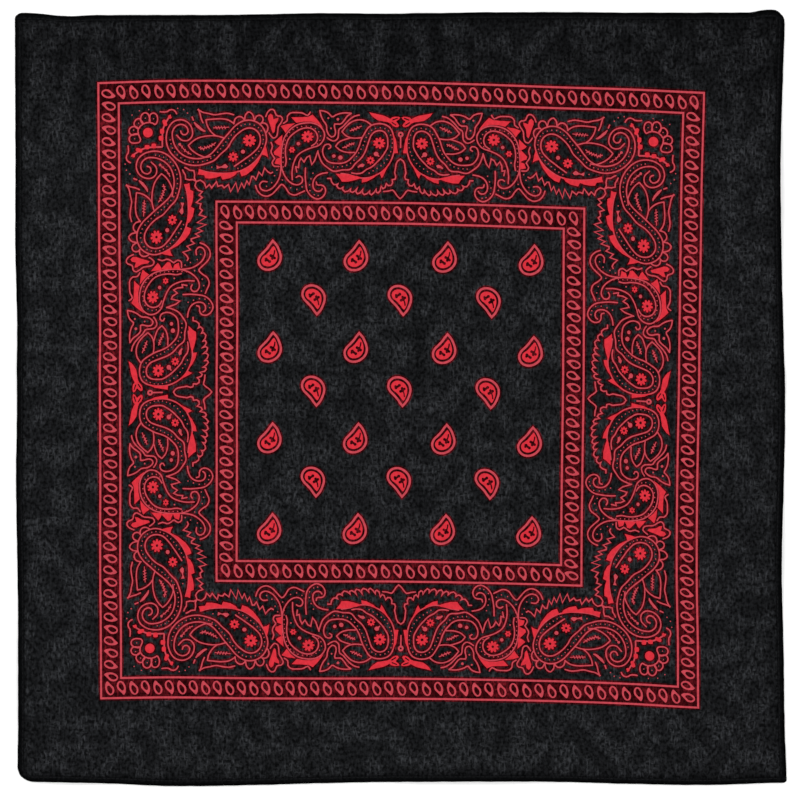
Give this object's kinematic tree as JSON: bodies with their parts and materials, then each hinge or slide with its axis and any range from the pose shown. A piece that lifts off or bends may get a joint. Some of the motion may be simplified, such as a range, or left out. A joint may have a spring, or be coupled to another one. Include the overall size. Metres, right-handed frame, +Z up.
{
  "type": "bandana laid out flat",
  "caption": "Square black cotton bandana laid flat, with a narrow turned hem and a red print: framed paisley border, rows of teardrops and a field of small paisleys.",
  "frame": {"origin": "on the surface that the cloth lies on, under the middle of its outline", "axes": "+Z up from the surface, +X towards the print's right side and +Y towards its top side as the picture shows it"},
  "size_m": [0.5524, 0.5558, 0.0051],
  "materials": {
    "printed_cotton": "thin plain-weave cotton, black with a red print, matt",
    "hem_cotton": "the same cotton turned twice and stitched, matt black"
  },
  "bodies": {
    "root": {"panel": "printed_cotton", "hem_top": "hem_cotton", "hem_bottom": "hem_cotton", "hem_left": "hem_cotton", "hem_right": "hem_cotton"}
  },
  "joints": []
}
